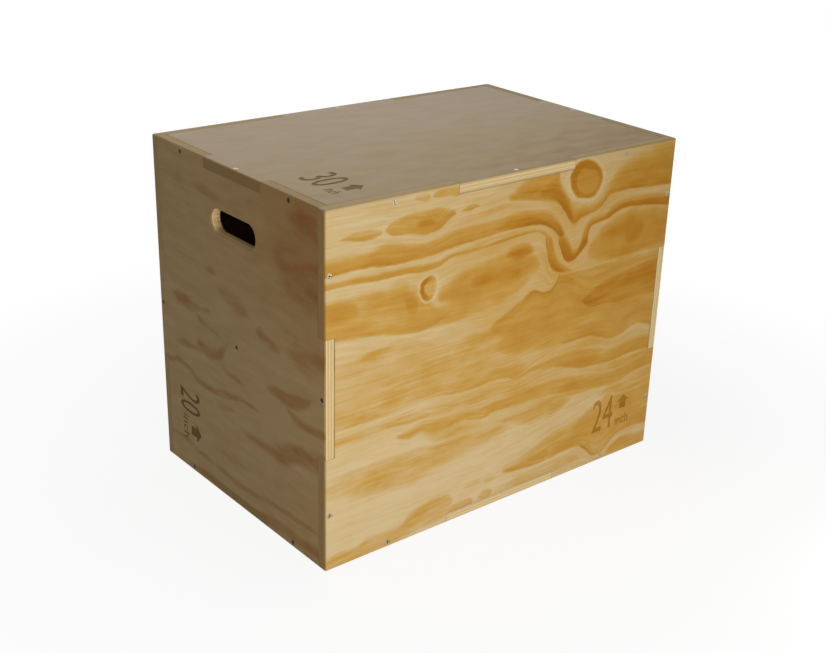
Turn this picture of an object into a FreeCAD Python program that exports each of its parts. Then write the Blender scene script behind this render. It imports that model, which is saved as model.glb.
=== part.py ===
import FreeCAD, Part
import os
from math import cos, pi, sin

# Wooden jump box with three usable heights.
# Six plywood panels lock together with one tab and two fingers on every edge, and countersunk
# wood screws hold each finger and tab to the panel behind it. A brace between the two end
# panels keeps the large panels from bending. The origin is the middle of the underside.
# X runs along the length, Y along the depth from front to back, and Z up. Sizes are in millimetres.

# Outside of the box
box_length = 762.0
box_depth = 508.0
box_height = 609.6
panel_thickness = 18.0
edge_radius = 3.0

# Finger joints: the tab in the middle of an edge that runs along X, Y or Z
length_tab = 254.0
depth_tab = 169.4
height_tab = 203.2
tab_clearance = 0.2

# Hand slots through the two end panels, with half-round ends and bevelled rims
slot_length = 132.0
slot_height = 42.0
slot_drop = 99.0
slot_bevel = 1.6

# Brace between the end panels, at half height
brace_thickness = 18.0
brace_clearance = 0.2

# Countersunk wood screws, each turned shape drawn with flat sides
screw_length = 45.0
shank_diameter = 4.0
head_diameter = 8.4
head_sink = 0.5
tip_length = 5.0
screw_clearance = 0.1
screw_sides = 12

# Two points closer than this are one
same_place = 1e-6

# Half sizes and middle lines that several pieces share
half_length = box_length / 2
half_depth = box_depth / 2
half_height = box_height / 2
mid_sheet = panel_thickness / 2
inner_half_length = half_length - panel_thickness
inner_half_depth = half_depth - panel_thickness
inner_half_height = half_height - panel_thickness

x_axis = FreeCAD.Vector(1, 0, 0)
y_axis = FreeCAD.Vector(0, 1, 0)
z_axis = FreeCAD.Vector(0, 0, 1)
middle = z_axis * half_height


class Side:
    """One side of the box: the centre of its outer face, two axes in the face, and the way in."""

    def __init__(self, centre, across, up, inward):
        self.centre = centre
        self.across = across
        self.up = up
        self.inward = inward

    def at(self, u, v, depth=0.0):
        return self.centre + self.across * u + self.up * v + self.inward * depth


front = Side(middle - y_axis * half_depth, x_axis, z_axis, y_axis)
back = Side(middle + y_axis * half_depth, x_axis, z_axis, -y_axis)
left = Side(middle - x_axis * half_length, y_axis, z_axis, x_axis)
right = Side(middle + x_axis * half_length, y_axis, z_axis, -x_axis)
top = Side(middle + z_axis * half_height, x_axis, y_axis, -z_axis)
bottom = Side(middle - z_axis * half_height, x_axis, y_axis, z_axis)


def mirrored_both_ways(quarter):
    """Whole outline from the points of its upper right quarter, in order."""
    back_again = quarter[::-1]
    lower_right = [(u, -v) for u, v in back_again]
    lower_left = [(-u, -v) for u, v in quarter]
    upper_left = [(-u, v) for u, v in back_again]
    return quarter + lower_right + lower_left + upper_left


def fingered_board(side, corner, step, run):
    """Flat board on one side of the box, alike in all four quarters.

    corner is where the outer fingers end, step is how far the middle of each edge reaches,
    and run is half the length of those middle stretches.
    """
    quarter = [
        (run[0], step[1]),
        (run[0], corner[1]),
        (corner[0], corner[1]),
        (corner[0], run[1]),
        (step[0], run[1]),
    ]
    points = [side.at(u, v) for u, v in mirrored_both_ways(quarter)]
    outline = Part.makePolygon(points + points[:1])
    return Part.Face(outline).extrude(side.inward * panel_thickness)


def rounded_envelope():
    """The assembled box as one block, with its twelve edges sanded round."""
    corner = FreeCAD.Vector(-half_length, -half_depth, 0)
    block = Part.makeBox(box_length, box_depth, box_height, corner)
    return block.makeFillet(edge_radius, block.Edges)


def face_board(side):
    """Front or back: fingers at all four corners, and a notch in the middle of each edge."""
    corner = (half_length, half_height)
    step = (inner_half_length, inner_half_height)
    run = (length_tab / 2 + tab_clearance, height_tab / 2 + tab_clearance)
    return fingered_board(side, corner, step, run)


def end_board(side):
    """Left or right: notches above and below, tabs towards the front and the back."""
    corner = (inner_half_depth, half_height)
    step = (half_depth, inner_half_height)
    run = (depth_tab / 2 + tab_clearance, height_tab / 2)
    return with_hand_slot(fingered_board(side, corner, step, run), side)


def deck_board(side):
    """Top or bottom: set back on all four edges, with a tab in the middle of each."""
    corner = (inner_half_length, inner_half_depth)
    step = (half_length, half_depth)
    run = (length_tab / 2, depth_tab / 2)
    return fingered_board(side, corner, step, run)


def with_hand_slot(board, side):
    """Cut the hand slot through an end board and bevel both of its rims."""
    height = half_height - slot_drop
    radius = slot_height / 2
    straight = slot_length / 2 - radius
    upper = Part.LineSegment(side.at(-straight, height + radius), side.at(straight, height + radius))
    lower = Part.LineSegment(side.at(straight, height - radius), side.at(-straight, height - radius))
    far_end = Part.Arc(upper.EndPoint, side.at(slot_length / 2, height), lower.StartPoint)
    near_end = Part.Arc(lower.EndPoint, side.at(-slot_length / 2, height), upper.StartPoint)
    outline = Part.Wire([curve.toShape() for curve in (upper, far_end, lower, near_end)])
    slot = Part.Face(outline).extrude(side.inward * panel_thickness)
    board = board.cut(slot)
    rims = [edge for edge in board.Edges if is_slot_rim(edge, side, slot)]
    return board.makeChamfer(slot_bevel, rims)


def is_slot_rim(edge, side, slot):
    """True for an edge of the slot that runs round its mouth, and not through the sheet."""
    along = edge.tangentAt(edge.FirstParameter)
    return along.isNormal(side.inward, same_place) and edge.distToShape(slot)[0] < same_place


def ring(side, u, v, radius, depth):
    """Regular polygon around the screw line through (u, v), at one depth under the face."""
    turns = [2 * pi * count / screw_sides for count in range(screw_sides)]
    points = [side.at(u + radius * cos(turn), v + radius * sin(turn), depth) for turn in turns]
    return Part.makePolygon(points + points[:1])


def screw_shape(side, u, v, grow, start):
    """Head cone, shank and point from the start depth on, grown all round by a clearance."""
    head = head_diameter / 2 + grow
    shank = shank_diameter / 2 + grow
    cone_end = head_sink + head - shank
    tip = head_sink + screw_length + grow
    mouth = ring(side, u, v, head + head_sink - start, start)
    neck = ring(side, u, v, shank, cone_end)
    shoulder = ring(side, u, v, shank, tip - tip_length)
    point = Part.Vertex(side.at(u, v, tip))
    return Part.makeLoft([mouth, neck, shoulder, point], True, True)


def screw(side, u, v):
    return screw_shape(side, u, v, 0, head_sink)


def screw_hole(side, u, v):
    """The hole's cone opens wider than the head, up to and just past the face."""
    return screw_shape(side, u, v, screw_clearance, -head_sink)


def four_ways(u, v):
    return [(u, v), (-u, v), (u, -v), (-u, -v)]


def face_screws():
    """One screw in the middle of each outer finger of the front or back panel."""
    along_length = ((half_length + length_tab / 2) / 2, half_height - mid_sheet)
    along_height = (half_length - mid_sheet, (half_height + height_tab / 2) / 2)
    return four_ways(*along_length) + four_ways(*along_height)


def end_screws():
    """One screw in each finger and each tab of the left or right panel."""
    fingers = four_ways((inner_half_depth + depth_tab / 2) / 2, half_height - mid_sheet)
    tabs = [(half_depth - mid_sheet, 0), (mid_sheet - half_depth, 0)]
    return fingers + tabs


def deck_screws():
    """One screw in each tab of the top or bottom panel."""
    along = half_length - mid_sheet
    across = half_depth - mid_sheet
    return [(along, 0), (-along, 0), (0, across), (0, -across)]


def brace_board():
    """Level board between the end panels, fitted closely between the front and the back."""
    depth = 2 * (inner_half_depth - brace_clearance)
    size = (2 * inner_half_length, depth, brace_thickness)
    corner = FreeCAD.Vector(-inner_half_length, -depth / 2, half_height - brace_thickness / 2)
    return Part.makeBox(*size, corner)


# Each group of screws: the side that it enters, and its places on that side
screw_groups = {
    "front_panel_screws": [(front, place) for place in face_screws()],
    "back_panel_screws": [(back, place) for place in face_screws()],
    "left_panel_screws": [(left, place) for place in end_screws()],
    "right_panel_screws": [(right, place) for place in end_screws()],
    "top_panel_screws": [(top, place) for place in deck_screws()],
    "bottom_panel_screws": [(bottom, place) for place in deck_screws()],
    "brace_screws": [(left, (0, 0)), (right, (0, 0))],
}

# The boards are cut, sanded round together on the outside, and drilled for every screw
envelope = rounded_envelope()
holes = [screw_hole(side, *place) for group in screw_groups.values() for side, place in group]
boards = {
    "front_panel": face_board(front),
    "back_panel": face_board(back),
    "left_panel": end_board(left),
    "right_panel": end_board(right),
    "top_panel": deck_board(top),
    "bottom_panel": deck_board(bottom),
    "center_brace": brace_board(),
}

pieces = {}
for name, board in boards.items():
    pieces[name] = board.common(envelope).cut(holes)
for name, group in screw_groups.items():
    pieces[name] = Part.makeCompound([screw(side, *place) for side, place in group])

os.makedirs("parts", exist_ok=True)
for name, piece in pieces.items():
    piece.exportStep("parts/" + name + ".step")
    print(name, len(piece.Solids), "solids", round(piece.Volume / 1000, 1), "cm3")
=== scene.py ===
# %% [markdown]
# # A plywood jump box
# The box is six boards of pine plywood, locked together by square fingers and held by countersunk
# screws. Its solids come from the CAD model and are never moved. This lesson adds what the solids
# lack: the figure of the wood, the layers on every cut edge, the burnt height marks, and screws
# with a recess and a thread.

# %% Load the frame
from math import pi, radians
import bpy
from mathutils import Matrix, Vector


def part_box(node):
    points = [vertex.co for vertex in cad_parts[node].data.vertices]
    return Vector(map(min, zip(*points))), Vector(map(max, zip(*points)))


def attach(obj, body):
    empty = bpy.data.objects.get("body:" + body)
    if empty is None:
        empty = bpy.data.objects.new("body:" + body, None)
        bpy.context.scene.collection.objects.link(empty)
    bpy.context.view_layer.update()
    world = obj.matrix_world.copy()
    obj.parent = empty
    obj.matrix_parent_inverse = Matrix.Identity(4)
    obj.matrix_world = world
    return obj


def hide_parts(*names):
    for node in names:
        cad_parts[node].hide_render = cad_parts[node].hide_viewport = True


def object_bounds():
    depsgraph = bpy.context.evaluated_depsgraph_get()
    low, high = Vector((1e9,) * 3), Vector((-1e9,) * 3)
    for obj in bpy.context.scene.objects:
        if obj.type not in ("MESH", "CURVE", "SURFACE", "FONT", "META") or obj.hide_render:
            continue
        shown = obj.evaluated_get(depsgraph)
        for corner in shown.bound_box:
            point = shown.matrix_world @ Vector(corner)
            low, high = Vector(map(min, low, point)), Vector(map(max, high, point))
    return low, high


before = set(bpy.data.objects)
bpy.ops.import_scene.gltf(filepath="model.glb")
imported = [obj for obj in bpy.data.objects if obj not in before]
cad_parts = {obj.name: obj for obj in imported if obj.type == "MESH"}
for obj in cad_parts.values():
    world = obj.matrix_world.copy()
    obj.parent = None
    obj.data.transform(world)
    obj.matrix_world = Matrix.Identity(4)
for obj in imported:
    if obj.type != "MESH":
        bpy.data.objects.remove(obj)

cad_low, cad_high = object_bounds()
print("CAD box in metres", [round(size, 4) for size in cad_high - cad_low])

# %% [markdown]
# ## Camera
# The photograph shows the left front corner from a little above, so three faces are in view.
# A camera is easiest to match when its turn, its height angle and its roll are separate values:
# each one then moves a single thing in the picture. The small lens shift is there because the
# box doesn't stand in the middle of the frame.

# %% Camera
image_width = 826
view_turn = radians(-41.39)
view_height = radians(23.54)
view_roll = radians(2.45)
view_place = Vector((-1.4042, -1.7146, 1.1868))
lens_mm = 56.70
shift_right = -45 / image_width
shift_up = 15.5 / image_width

camera_data = bpy.data.cameras.new("photo_camera")
camera_data.lens = lens_mm
camera_data.shift_x = shift_right
camera_data.shift_y = shift_up
camera = bpy.data.objects.new("photo_camera", camera_data)
camera.matrix_world = (
    Matrix.Translation(view_place)
    @ Matrix.Rotation(view_turn, 4, "Z")
    @ Matrix.Rotation(pi / 2 - view_height, 4, "X")
    @ Matrix.Rotation(view_roll, 4, "Z")
)
bpy.context.scene.collection.objects.link(camera)
bpy.context.scene.camera = camera
print("camera at", [round(x, 3) for x in camera.location])

# %% [markdown]
# ## Nodes in a few words
# The wood is worked out by shader nodes. Written one by one they hide the idea, so short helpers
# place a node, do a sum, fade between two values, mix colours, make noise, and build and use groups.

# %% Helpers for nodes
def add_node(tree, kind, inputs=None, **settings):
    """Put a node in a tree, set it up, and link or fill its inputs."""
    node = tree.nodes.new(kind)
    for name, value in settings.items():
        setattr(node, name, value)
    for key, value in (inputs or {}).items():
        if isinstance(value, bpy.types.NodeSocket):
            tree.links.new(value, node.inputs[key])
        else:
            node.inputs[key].default_value = value
    return node


def calc(tree, operation, *values, clamp=False):
    """One sum on numbers or sockets."""
    inputs = dict(enumerate(values))
    return add_node(tree, "ShaderNodeMath", inputs, operation=operation, use_clamp=clamp).outputs[0]


def fade(tree, value, start, end, low=0.0, high=1.0):
    """Smooth step from low to high while value goes from start to end."""
    inputs = {"Value": value, "From Min": start, "From Max": end, "To Min": low, "To Max": high}
    return add_node(tree, "ShaderNodeMapRange", inputs, interpolation_type="SMOOTHSTEP").outputs[0]


def mix_colour(tree, share, first, second):
    """Second colour over the first by a share from 0 to 1."""
    inputs = {0: share, 6: first, 7: second}
    return add_node(tree, "ShaderNodeMix", inputs, data_type="RGBA").outputs[2]


def noise(tree, along, across, depth, sizes, detail=2.0, seed=0.0):
    """Noise from 0 to 1 whose lumps have the given sizes in millimetres along the three ways."""
    scaled = [calc(tree, "DIVIDE", way, size) for way, size in zip((along, across, depth), sizes)]
    vector = add_node(tree, "ShaderNodeCombineXYZ", dict(enumerate(scaled))).outputs[0]
    inputs = {"Vector": vector, "W": seed, "Scale": 1.0, "Detail": detail}
    return add_node(tree, "ShaderNodeTexNoise", inputs, noise_dimensions="4D").outputs[0]


def srgb(red, green, blue):
    """Colour as a picture shows it, from 0 to 255, as the linear values that nodes use."""
    shares = [part / 255 for part in (red, green, blue)]
    linear = [s / 12.92 if s <= 0.04045 else ((s + 0.055) / 1.055) ** 2.4 for s in shares]
    return (*linear, 1.0)


def new_group(name, inputs, outputs):
    """Empty node group with its sockets: name and default for inputs, name and kind for outputs."""
    group = bpy.data.node_groups.new(name, "ShaderNodeTree")
    for label, default in inputs.items():
        socket = group.interface.new_socket(label, in_out="INPUT", socket_type="NodeSocketFloat")
        socket.default_value = default
    for label, kind in outputs.items():
        group.interface.new_socket(label, in_out="OUTPUT", socket_type="NodeSocket" + kind)
    source = group.nodes.new("NodeGroupInput")
    sink = group.nodes.new("NodeGroupOutput")
    return group, source.outputs, sink.inputs


def use_group(tree, group, inputs):
    """Place a node group and give it its inputs."""
    return add_node(tree, "ShaderNodeGroup", inputs, node_tree=group).outputs


print("node helpers ready")

# %% [markdown]
# ## One growth band
# A peeled veneer cuts the growth rings of the trunk at a flat angle, so each ring becomes a broad
# band: pale where spring wood starts, golden further on, and dark at the late wood, where it stops
# at a sharp line. Noise alone gives bands, but not this order in them. The group below takes
# the two lines that bound a band, and fills the space between them with that order.

# %% Group for a growth band
band, given, result = new_group(
    "growth_band",
    {"Down": 0, "Upper": 0, "Lower": 0, "Height": 1, "Top": 0.3, "Foot": 0.5, "Rim": 0.1,
     "Soft": 4, "Edge": 3},
    {"Amount": "Float"},
)
rim_width = 9.0
under_top = calc(band, "MULTIPLY", calc(band, "SUBTRACT", given["Down"], given["Upper"]), given["Height"])
over_foot = calc(band, "MULTIPLY", calc(band, "SUBTRACT", given["Lower"], given["Down"]), given["Height"])
width = calc(band, "MAXIMUM", calc(band, "ADD", under_top, over_foot), 0.001)
level = calc(band, "DIVIDE", under_top, width, clamp=True)
rise = calc(band, "MULTIPLY", level, calc(band, "SUBTRACT", given["Foot"], given["Top"]))
rim = calc(band, "MULTIPLY", fade(band, over_foot, 0.0, rim_width, 1.0, 0.0), given["Rim"])
body = calc(band, "ADD", calc(band, "ADD", given["Top"], rise), rim)
half_soft = calc(band, "MULTIPLY", given["Soft"], 0.5)
half_edge = calc(band, "MULTIPLY", given["Edge"], 0.5)
below_top = fade(band, under_top, calc(band, "MULTIPLY", half_soft, -1.0), half_soft)
above_foot = fade(band, over_foot, calc(band, "MULTIPLY", half_edge, -1.0), half_edge)
inside = calc(band, "MULTIPLY", calc(band, "MULTIPLY", below_top, above_foot), fade(band, width, 0.5, 5.0))
band.links.new(calc(band, "MULTIPLY", inside, body), result["Amount"])
print("group", band.name, "with", len(band.nodes), "nodes")

# %% [markdown]
# ## A knot
# A knot is the root of a branch. It shows as a dark ring round a golden middle, and the wood close
# around it is pale. The group measures how far a point lies from the middle of a turned oval, with
# 1 at its rim, and gives the three zones as masks. The ring is often open on one side: Weak says how
# much of it is left there, and Low whether that side lies to the right or to the lower right.

# %% Group for a knot
knot, given, result = new_group(
    "knot",
    {"Along": 0, "Down": 0, "Middle along": 0, "Middle down": 0, "Half width": 1, "Half height": 1,
     "Turn": 0, "Weak": 1, "Low": 1, "Fill": 1, "Clear": 1},
    {"Ring": "Float", "Core": "Float", "Halo": "Float"},
)
side_way = calc(knot, "SUBTRACT", given["Along"], given["Middle along"])
down_way = calc(knot, "SUBTRACT", given["Down"], given["Middle down"])
cosine = calc(knot, "COSINE", given["Turn"])
sine = calc(knot, "SINE", given["Turn"])
side_share = calc(knot, "DIVIDE", side_way, given["Half width"])
down_share = calc(knot, "DIVIDE", down_way, given["Half height"])
turned_side = calc(
    knot, "ADD", calc(knot, "MULTIPLY", side_way, cosine), calc(knot, "MULTIPLY", down_way, sine)
)
turned_down = calc(
    knot, "SUBTRACT", calc(knot, "MULTIPLY", down_way, cosine), calc(knot, "MULTIPLY", side_way, sine)
)
wide = calc(knot, "DIVIDE", turned_side, given["Half width"])
tall = calc(knot, "DIVIDE", turned_down, given["Half height"])
squares = calc(knot, "ADD", calc(knot, "MULTIPLY", wide, wide), calc(knot, "MULTIPLY", tall, tall))
reach = calc(knot, "SQRT", squares)
low_right = calc(knot, "MULTIPLY_ADD", down_share, given["Low"], side_share)
inner = calc(knot, "ADD", reach, fade(knot, low_right, -1.0, 0.8, 0.26, 0.08))
ring = calc(knot, "MULTIPLY", fade(knot, inner, 0.58, 0.88), fade(knot, reach, 0.90, 1.10, 1.0, 0.0))
lean = fade(knot, low_right, -0.7, 1.3, 1.0, given["Weak"])
knot.links.new(calc(knot, "MULTIPLY", ring, lean), result["Ring"])
knot.links.new(fade(knot, reach, 0.75, 0.95, given["Fill"], 0.0), result["Core"])
knot.links.new(fade(knot, reach, 1.05, 1.36, given["Clear"], 0.0), result["Halo"])
print("group", knot.name, "with", len(knot.nodes), "nodes")

# %% [markdown]
# ## Fibres
# Seen close, wood is a bundle of fibres. Noise that is long along the grain and fine across it
# gives the streaks, and a slower noise gives the cloudy tone of a sheet. Both are solid textures,
# so a cut across the grain shows dots instead of streaks, as end grain does.

# %% Group for fibres
fibres, given, result = new_group(
    "fibres", {"Along": 0, "Across": 0, "Depth": 0, "Seed": 0}, {"Lines": "Float", "Clouds": "Float"}
)
fibre_size = (70.0, 0.9, 0.9)
streak_size = (160.0, 4.0, 4.0)
cloud_size = (130.0, 38.0, 38.0)
ways = (given["Along"], given["Across"], given["Depth"])
fine = noise(fibres, *ways, fibre_size, 2.0, given["Seed"])
broad = noise(fibres, *ways, streak_size, 2.0, given["Seed"])
lines = calc(fibres, "MULTIPLY_ADD", fine, 0.5, calc(fibres, "MULTIPLY", broad, 0.5))
fibres.links.new(lines, result["Lines"])
fibres.links.new(noise(fibres, *ways, cloud_size, 3.0, given["Seed"]), result["Clouds"])
print("group", fibres.name, "with", len(fibres.nodes), "nodes")

# %% [markdown]
# ## The layers of a cut edge
# Plywood is glued from veneers that lie crosswise in turn. On a cut edge every second layer shows
# its fibres from the side and is light, and the others show their ends and are darker. A thin dark
# glue line parts them. The group works from the depth under the face, so it fits every finger,
# rounded edge, hand slot and screw hole without a seam in the pattern.

# %% Group for the layers
sheet_thickness = 18.0
veneer_thickness = 1.8
inner_layers = 5
layer_thickness = (sheet_thickness - 2 * veneer_thickness) / inner_layers

layers, given, result = new_group(
    "plywood_layers",
    {"Along": 0, "Across": 0, "Depth": 0, "End": 0, "Side": 0, "Seed": 0},
    {"Colour": "Color", "Cut": "Float", "Glue": "Float"},
)
light_layer = srgb(234, 210, 156)
dark_layer = srgb(204, 166, 108)
glue_brown = srgb(128, 90, 48)
from_veneer = calc(layers, "SUBTRACT", given["Depth"], veneer_thickness)
position = calc(layers, "DIVIDE", from_veneer, layer_thickness)
number = calc(layers, "FLOOR", position)
lengthwise = calc(layers, "FLOORED_MODULO", number, 2.0)
end_if_long = calc(layers, "MULTIPLY", lengthwise, given["End"])
end_if_cross = calc(layers, "MULTIPLY", calc(layers, "SUBTRACT", 1.0, lengthwise), given["Side"])
end_grain = calc(layers, "ADD", end_if_long, end_if_cross)
seed = calc(layers, "MULTIPLY_ADD", number, 7.3, given["Seed"])
long_lines = noise(layers, given["Along"], given["Across"], given["Depth"], (60.0, 1.2, 0.8), 2.0, seed)
cross_lines = noise(layers, given["Along"], given["Across"], given["Depth"], (1.2, 60.0, 0.8), 2.0, seed)
lines = add_node(layers, "ShaderNodeMix", {0: lengthwise, 2: cross_lines, 3: long_lines}).outputs[0]
tone = add_node(layers, "ShaderNodeTexWhiteNoise", {"W": seed}, noise_dimensions="1D").outputs[0]
shade = calc(layers, "MULTIPLY_ADD", end_grain, 0.50, calc(layers, "MULTIPLY_ADD", tone, 0.22, -0.05))
shade = calc(layers, "ADD", shade, calc(layers, "MULTIPLY_ADD", lines, 0.7, -0.35), clamp=True)
glue = fade(layers, calc(layers, "FRACT", position), 0.04, 0.16, 1.0, 0.0)
wood = mix_colour(layers, shade, light_layer, dark_layer)
wood = mix_colour(layers, calc(layers, "MULTIPLY", glue, 0.6), wood, glue_brown)
layers.links.new(wood, result["Colour"])
past_face = calc(layers, "GREATER_THAN", given["Depth"], veneer_thickness)
before_back = calc(layers, "LESS_THAN", given["Depth"], sheet_thickness - veneer_thickness)
layers.links.new(calc(layers, "MULTIPLY", past_face, before_back), result["Cut"])
layers.links.new(glue, result["Glue"])
print("group", layers.name, "with", inner_layers, "layers of", layer_thickness, "mm between the faces")

# %% [markdown]
# ## Joint lines
# Where a tab meets its notch, the saw has singed the veneer and dust sits in the gap, so a fine dark
# line runs round every tab. All six faces of the box are alike in all four quarters. One group
# can therefore draw the line round a rectangle, measured from the middle of the face.

# %% Group for joint lines
seam, given, result = new_group(
    "joint_line",
    {"Along": 0, "Across": 0, "Along middle": 0, "Along half": 1, "Across middle": 0, "Across half": 1},
    {"Mask": "Float"},
)
past_sides = []
for way in ("Along", "Across"):
    from_middle = calc(seam, "ABSOLUTE", calc(seam, "SUBTRACT", given[way], given[way + " middle"]))
    past_sides.append(calc(seam, "SUBTRACT", from_middle, given[way + " half"]))
outline = calc(seam, "ABSOLUTE", calc(seam, "MAXIMUM", *past_sides))
seam.links.new(fade(seam, outline, 0.25, 1.3, 1.0, 0.0), result["Mask"])
print("group", seam.name, "with", len(seam.nodes), "nodes")

# %% [markdown]
# ## Ring lines drawn one by one
# The front board has a bold figure with its own lens shapes, a large knot and a deep dip beside it.
# A random pattern would be another board, so its ring lines are drawn as curves: each one is a short
# list of points, in millimetres along the face and down from its top edge. A Float Curve node turns
# such a list into a smooth line that any point of the face can be compared with. Two lines bound a
# band, and where they part at one point and meet at another, the band is a lens.

# %% Ring lines and bands
def ring_line(tree, along_share, size, points):
    """Smooth line through the points, level beyond the first and the last, as a share of the height."""
    length, height = size
    shares = [(along / length, down / height) for along, down in points]
    if shares[0][0] > 0:
        shares.insert(0, (0.0, shares[0][1]))
    if shares[-1][0] < 1:
        shares.append((1.0, shares[-1][1]))
    node = add_node(tree, "ShaderNodeFloatCurve", {"Value": along_share})
    curve = node.mapping.curves[0]
    curve.points[0].location = shares[0]
    curve.points[1].location = shares[-1]
    for share in shares[1:-1]:
        curve.points.new(*share)
    for point in curve.points:
        point.handle_type = "AUTO_CLAMPED"
    node.mapping.update()
    return node.outputs[0]


def band_amount(tree, along_share, down_share, size, upper, lower, top, foot, rim=0.0, soft=6.0, edge=5.0,
                blur=1.0):
    """Late wood between two ring lines, going from the amount at the top to the one at the foot."""
    inputs = {
        "Down": down_share,
        "Upper": ring_line(tree, along_share, size, upper),
        "Lower": ring_line(tree, along_share, size, lower),
        "Height": size[1],
        "Top": top,
        "Foot": foot,
        "Rim": rim,
        "Soft": soft * blur,
        "Edge": edge * blur,
    }
    return use_group(tree, band, inputs)["Amount"]


def lens(start, end, over, under, **amounts):
    """Band between two lines that part at the start and meet at the end."""
    return dict(upper=[start, *over, end], lower=[start, *under, end], **amounts)


print("helpers for ring lines, bands and lenses ready")

# %% Lines right across the front, from the top down
knot_foot = [(0, 50), (100, 52), (150, 62), (186, 70), (217, 66), (245, 50), (310, 46), (358, 44),
             (376, 49), (400, 53), (430, 56), (450, 60), (464, 65), (476, 73), (486, 83), (494, 94),
             (501, 104), (508, 112), (514, 115), (521, 112), (530, 107), (545, 103), (562, 100),
             (576, 95), (586, 86), (594, 78), (610, 75), (640, 74), (690, 78), (725, 80), (762, 82)]
dip_foot = [(0, 102), (50, 101), (80, 102), (110, 106), (160, 108), (200, 107), (235, 103), (270, 101),
            (300, 100), (340, 97), (390, 96), (420, 98), (440, 103), (455, 110), (466, 118), (474, 128),
            (479, 140), (485, 153), (490, 163), (495, 172), (501, 179), (508, 182), (518, 181),
            (527, 176), (536, 169), (543, 163), (549, 154), (552, 140), (555, 127), (562, 124),
            (580, 122), (600, 118), (618, 111), (640, 107), (680, 110), (720, 115), (762, 122)]
thin_foot = [(0, 122), (50, 123), (80, 126), (150, 128), (190, 131), (215, 129), (232, 121), (260, 118),
             (300, 118), (330, 116), (360, 114), (400, 112), (425, 113), (440, 119), (448, 127),
             (453, 140), (456, 156), (459, 170), (466, 182), (476, 190), (486, 196), (500, 202),
             (540, 203), (580, 200), (620, 203), (700, 206), (762, 210)]
field_foot = [(0, 206), (35, 209), (60, 213), (100, 219), (150, 224), (240, 232), (300, 234), (360, 236),
              (380, 236), (396, 229), (412, 221), (428, 215), (440, 219), (452, 224), (464, 224),
              (474, 219), (481, 208), (490, 202), (510, 206), (535, 222), (560, 236), (600, 237),
              (650, 226), (700, 222), (762, 217)]
middle_foot = [(0, 300), (100, 300), (300, 296), (400, 290), (560, 284), (605, 283), (640, 288),
               (680, 286), (720, 289), (762, 290)]
wavy_foot = [(0, 361), (120, 361), (180, 357), (220, 357), (255, 363), (290, 366), (340, 363), (380, 367),
             (410, 364), (440, 354), (520, 337), (570, 336), (600, 345), (622, 354), (640, 357),
             (660, 354), (684, 346), (702, 343), (722, 347), (742, 355), (762, 364)]
ragged_foot = [(0, 412), (128, 406), (148, 414), (165, 418), (184, 415), (202, 419), (218, 424),
               (245, 424), (275, 418), (300, 424), (328, 430), (350, 424), (390, 427), (460, 430),
               (520, 436), (580, 444), (620, 450), (660, 454), (685, 448), (710, 442), (762, 440)]
tongue_top = [(0, 545), (200, 547), (372, 549), (384, 542), (420, 537), (445, 529), (470, 520),
              (500, 511), (540, 505), (570, 496), (590, 486), (620, 476), (640, 466), (665, 474),
              (700, 478), (762, 474)]
tongue_foot = [(0, 590), (85, 578), (165, 572), (245, 566), (372, 555), (392, 556), (430, 560),
               (470, 564), (500, 562), (530, 558), (560, 558), (580, 566), (600, 580), (612, 592),
               (628, 596), (645, 588), (660, 574), (680, 564), (710, 562), (762, 566)]
front_lines = [
    knot_foot, dip_foot, thin_foot, field_foot, middle_foot,
    wavy_foot, ragged_foot, tongue_top, tongue_foot,
]
print(len(front_lines), "lines across the front board")

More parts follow.
